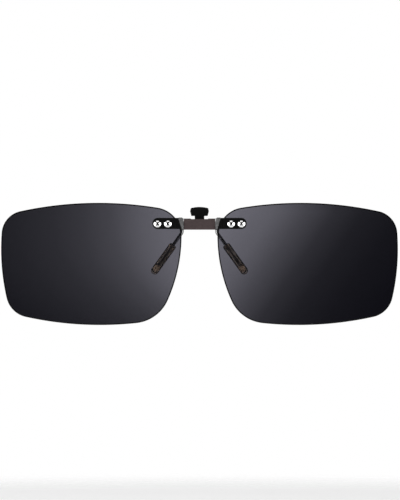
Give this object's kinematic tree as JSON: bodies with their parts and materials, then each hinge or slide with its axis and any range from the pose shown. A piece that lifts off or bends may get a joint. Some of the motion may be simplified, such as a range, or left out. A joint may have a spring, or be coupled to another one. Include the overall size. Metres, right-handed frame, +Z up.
{
  "type": "clip-on sunglasses",
  "caption": "Flip-up clip-on sunglasses: dark rimless lenses riveted to a hinged bridge bar, with a sprung lever jaw whose sleeved wires grip spectacles.",
  "frame": {"origin": "middle of the spectacle grip: the centre plane, halfway between the front and rear sleeves, at their mid-height", "axes": "+X to the right seen from the front, +Y back towards the spectacles, +Z up"},
  "size_m": [0.1326, 0.008, 0.0408],
  "materials": {
    "smoke_lens": "polished, dark smoke tint",
    "bridge_metal": "brown gunmetal plating, finely brushed along its length",
    "black_metal": "satin black enamel",
    "polished_steel": "polished",
    "plated_steel": "grey nickel plating",
    "spring_steel": "bright drawn wire and strip",
    "smoke_rubber": "smoke-brown clear soft plastic",
    "black_plastic": "fine matt black",
    "clear_nylon": "natural nylon"
  },
  "bodies": {
    "clip_base": {"housing": "bridge_metal", "front_jaw_plate": "plated_steel", "front_arm_left": "plated_steel", "front_arm_right": "plated_steel", "front_sleeve_left": "smoke_rubber", "front_sleeve_right": "smoke_rubber", "jaw_pin": "plated_steel", "detent_spring": "spring_steel", "torsion_spring_left": "spring_steel", "torsion_spring_right": "spring_steel"},
    "flip_front": {"lens_left": "smoke_lens", "lens_right": "smoke_lens", "bracket_left": "black_metal", "bracket_right": "black_metal", "knuckle_left": "plated_steel", "knuckle_right": "plated_steel", "flip_shaft": "plated_steel", "detent_cam": "plated_steel", "lens_rivets": "polished_steel", "lens_bushings": "clear_nylon", "rear_washers": "clear_nylon"},
    "rear_jaw": {"lever": "plated_steel", "knob": "black_plastic", "rear_jaw_plate": "plated_steel", "rear_arm_left": "plated_steel", "rear_arm_right": "plated_steel", "rear_sleeve_left": "smoke_rubber", "rear_sleeve_right": "smoke_rubber"}
  },
  "joints": [
    {"name": "lens_flip", "type": "hinge", "parent": "clip_base", "child": "flip_front", "pos_m": [0, -0.00237, 0.01205], "axis": [-1, 0, 0], "range_deg": [0, 90], "deforming": ["detent_spring"]},
    {"name": "jaw_open", "type": "hinge", "parent": "clip_base", "child": "rear_jaw", "pos_m": [0, 0.00007, 0.0115], "axis": [1, 0, 0], "range_deg": [0, 25], "stiffness_Nm_per_rad": 0.05, "springref_deg": -40.11, "deforming": ["torsion_spring_left", "torsion_spring_right"]}
  ]
}
